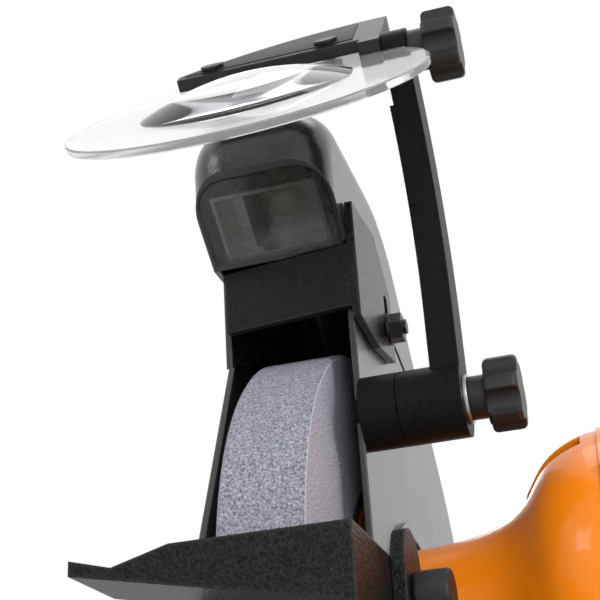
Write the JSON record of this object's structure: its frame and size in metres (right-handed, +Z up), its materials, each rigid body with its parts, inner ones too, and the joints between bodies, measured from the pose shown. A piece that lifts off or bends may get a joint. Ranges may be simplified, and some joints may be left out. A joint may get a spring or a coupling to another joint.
{
  "type": "bench grinder",
  "caption": "Bench grinder with guarded abrasive wheels on a motor shaft, lamp hoods, spark arrestors, tilting magnifier shields on arms and adjustable tool rests.",
  "frame": {"origin": "centre of the bench bolt pattern, on the plane the rubber feet stand on", "axes": "+X along the shaft from the pictured wheel to the other one, +Y away from the operator, +Z up"},
  "size_m": [0.329, 0.2163, 0.2695],
  "materials": {
    "housing_orange": "gloss",
    "guard_black": "semi-gloss",
    "wrinkle_black": "fine wrinkle",
    "arm_black": "satin",
    "knob_black": "satin",
    "abrasive_grey": "grainy",
    "label_paper": "matte",
    "lamp_lens": "smoked clear",
    "clear_shield": "clear",
    "zinc_steel": "zinc plated",
    "core_steel": "laminated",
    "copper_wire": "varnished",
    "fan_black": "matte",
    "bulb_glass": "clear",
    "reflector": "bright",
    "socket_ceramic": "matte",
    "foot_rubber": "matte",
    "can_aluminium": "satin",
    "switch_black": "satin",
    "switch_green": "gloss"
  },
  "bodies": {
    "frame": {"arm_washers": "zinc_steel", "arrestor_bolts": "zinc_steel", "base_casting": "housing_orange", "base_plate": "wrinkle_black", "base_screws": "zinc_steel", "bearings": "zinc_steel", "bracket_bolts": "zinc_steel", "capacitor": "can_aluminium", "cord_gland": "foot_rubber", "cover_screws": "zinc_steel", "guard_screws": "zinc_steel", "lamp_bulbs": "bulb_glass", "lamp_lenses": "lamp_lens", "lamp_reflectors": "reflector", "lamp_sockets": "socket_ceramic", "left_end_bell": "housing_orange", "left_guard_cover": "guard_black", "left_guard_shell": "guard_black", "motor_shell": "housing_orange", "rest_brackets": "wrinkle_black", "right_end_bell": "housing_orange", "right_guard_cover": "guard_black", "right_guard_shell": "guard_black", "rubber_feet": "foot_rubber", "saddle_bolts": "zinc_steel", "shell_screws": "zinc_steel", "shield_bosses": "arm_black", "stator_coils": "copper_wire", "stator_core": "core_steel", "switch_bezel": "switch_black"},
    "rotor": {"rotor_shaft": "zinc_steel", "rotor_core": "core_steel", "cooling_fan": "fan_black", "left_wheel": "abrasive_grey", "right_wheel": "abrasive_grey", "wheel_labels": "label_paper", "wheel_flanges": "zinc_steel", "spindle_nuts": "zinc_steel"},
    "left_arrestor": {"left_spark_arrestor": "wrinkle_black"},
    "left_arm": {"left_shield_arm": "arm_black"},
    "left_lens": {"left_shield_disc": "clear_shield", "left_shield_clamp": "knob_black", "left_clamp_screws": "zinc_steel", "left_magnifier_lens": "clear_shield"},
    "left_arm_clamp": {"left_arm_knob": "knob_black"},
    "left_tilt_clamp": {"left_tilt_knob": "knob_black"},
    "left_rest_clamp": {"left_rest_knob": "knob_black"},
    "left_nut": {"left_rest_nut": "zinc_steel"},
    "left_rest": {"left_tool_rest": "wrinkle_black"},
    "right_arrestor": {"right_spark_arrestor": "wrinkle_black"},
    "right_arm": {"right_shield_arm": "arm_black"},
    "right_lens": {"right_shield_disc": "clear_shield", "right_shield_clamp": "knob_black", "right_clamp_screws": "zinc_steel"},
    "right_arm_clamp": {"right_arm_knob": "knob_black"},
    "right_tilt_clamp": {"right_tilt_knob": "knob_black"},
    "right_rest_clamp": {"right_rest_knob": "knob_black"},
    "right_nut": {"right_rest_nut": "zinc_steel"},
    "right_rest": {"right_tool_rest": "wrinkle_black"},
    "switch": {"switch_rocker": "switch_green"}
  },
  "joints": [
    {"name": "rotor_spin", "type": "hinge", "parent": "frame", "child": "rotor", "pos_m": [0, 0, 0.122], "axis": [1, 0, 0], "continuous": true},
    {"name": "left_arrestor_slide", "type": "slide", "parent": "frame", "child": "left_arrestor", "axis": [0, 0, 1], "range_m": [-0.008, 0]},
    {"name": "left_arm_swing", "type": "hinge", "parent": "frame", "child": "left_arm", "pos_m": [-0.099, -0.0415, 0.169], "axis": [1, 0, 0], "range_deg": [-6, 30]},
    {"name": "left_lens_tilt", "type": "hinge", "parent": "left_arm", "child": "left_lens", "pos_m": [-0.092, -0.0675, 0.251], "axis": [1, 0, 0], "range_deg": [-40, 8]},
    {"name": "left_arm_knob_turn", "type": "hinge", "parent": "frame", "child": "left_arm_clamp", "pos_m": [-0.099, -0.0415, 0.169], "axis": [1, 0, 0], "range_deg": [0, 180]},
    {"name": "left_tilt_knob_turn", "type": "hinge", "parent": "left_lens", "child": "left_tilt_clamp", "pos_m": [-0.092, -0.0675, 0.251], "axis": [1, 0, 0], "range_deg": [0, 180]},
    {"name": "left_rest_knob_turn", "type": "hinge", "parent": "frame", "child": "left_rest_clamp", "pos_m": [-0.102, -0.06, 0.1205], "axis": [1, 0, 0], "range_deg": [0, 180]},
    {"name": "left_rest_tilt", "type": "hinge", "parent": "frame", "child": "left_nut", "pos_m": [-0.102, -0.06, 0.1205], "axis": [1, 0, 0], "range_deg": [-10, 15]},
    {"name": "left_rest_slide", "type": "slide", "parent": "left_nut", "child": "left_rest", "axis": [0, 1, 0], "range_m": [-0.014, 0.0005]},
    {"name": "right_arrestor_slide", "type": "slide", "parent": "frame", "child": "right_arrestor", "axis": [0, 0, 1], "range_m": [-0.008, 0]},
    {"name": "right_arm_swing", "type": "hinge", "parent": "frame", "child": "right_arm", "pos_m": [0.099, -0.0415, 0.169], "axis": [1, 0, 0], "range_deg": [-6, 30]},
    {"name": "right_lens_tilt", "type": "hinge", "parent": "right_arm", "child": "right_lens", "pos_m": [0.092, -0.0675, 0.251], "axis": [1, 0, 0], "range_deg": [-40, 8]},
    {"name": "right_arm_knob_turn", "type": "hinge", "parent": "frame", "child": "right_arm_clamp", "pos_m": [0.099, -0.0415, 0.169], "axis": [1, 0, 0], "range_deg": [0, 180]},
    {"name": "right_tilt_knob_turn", "type": "hinge", "parent": "right_lens", "child": "right_tilt_clamp", "pos_m": [0.092, -0.0675, 0.251], "axis": [1, 0, 0], "range_deg": [0, 180]},
    {"name": "right_rest_knob_turn", "type": "hinge", "parent": "frame", "child": "right_rest_clamp", "pos_m": [0.102, -0.06, 0.1205], "axis": [1, 0, 0], "range_deg": [0, 180]},
    {"name": "right_rest_tilt", "type": "hinge", "parent": "frame", "child": "right_nut", "pos_m": [0.102, -0.06, 0.1205], "axis": [1, 0, 0], "range_deg": [-10, 15]},
    {"name": "right_rest_slide", "type": "slide", "parent": "right_nut", "child": "right_rest", "axis": [0, 1, 0], "range_m": [-0.014, 0.0005]},
    {"name": "switch_rock", "type": "hinge", "parent": "frame", "child": "switch", "pos_m": [0, -0.046, 0.052], "axis": [1, 0, 0], "range_deg": [-9, 9]}
  ]
}
